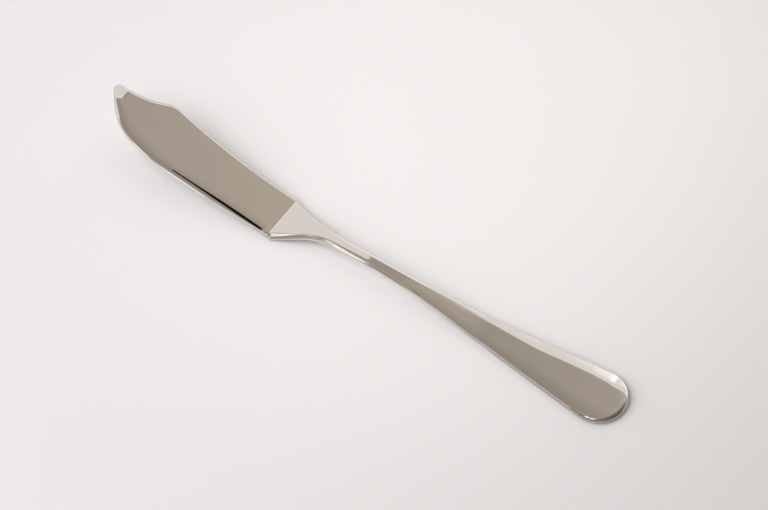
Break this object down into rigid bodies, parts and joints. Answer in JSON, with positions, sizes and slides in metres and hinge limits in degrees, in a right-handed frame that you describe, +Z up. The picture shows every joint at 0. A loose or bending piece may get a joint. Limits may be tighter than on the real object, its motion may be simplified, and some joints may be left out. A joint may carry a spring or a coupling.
{
  "type": "fish knife",
  "caption": "Polished steel fish knife with a flat lifted blade, notched spine and blunt tip, brazed to an arched handle that widens to a round-ended grip.",
  "frame": {"origin": "centre of the knife's footprint on the surface that it lies on", "axes": "+X from the blade's tip to the handle's butt, +Y from the cutting edge to the spine, +Z up"},
  "size_m": [0.199, 0.0216, 0.0126],
  "materials": {
    "blade_steel": "mirror polished stainless steel with faint polishing lines",
    "handle_steel": "mirror polished stainless steel with faint polishing lines",
    "braze_metal": "polished pale brazing metal"
  },
  "bodies": {
    "root": {"blade": "blade_steel", "handle": "handle_steel", "brazed_seam": "braze_metal"}
  },
  "joints": []
}
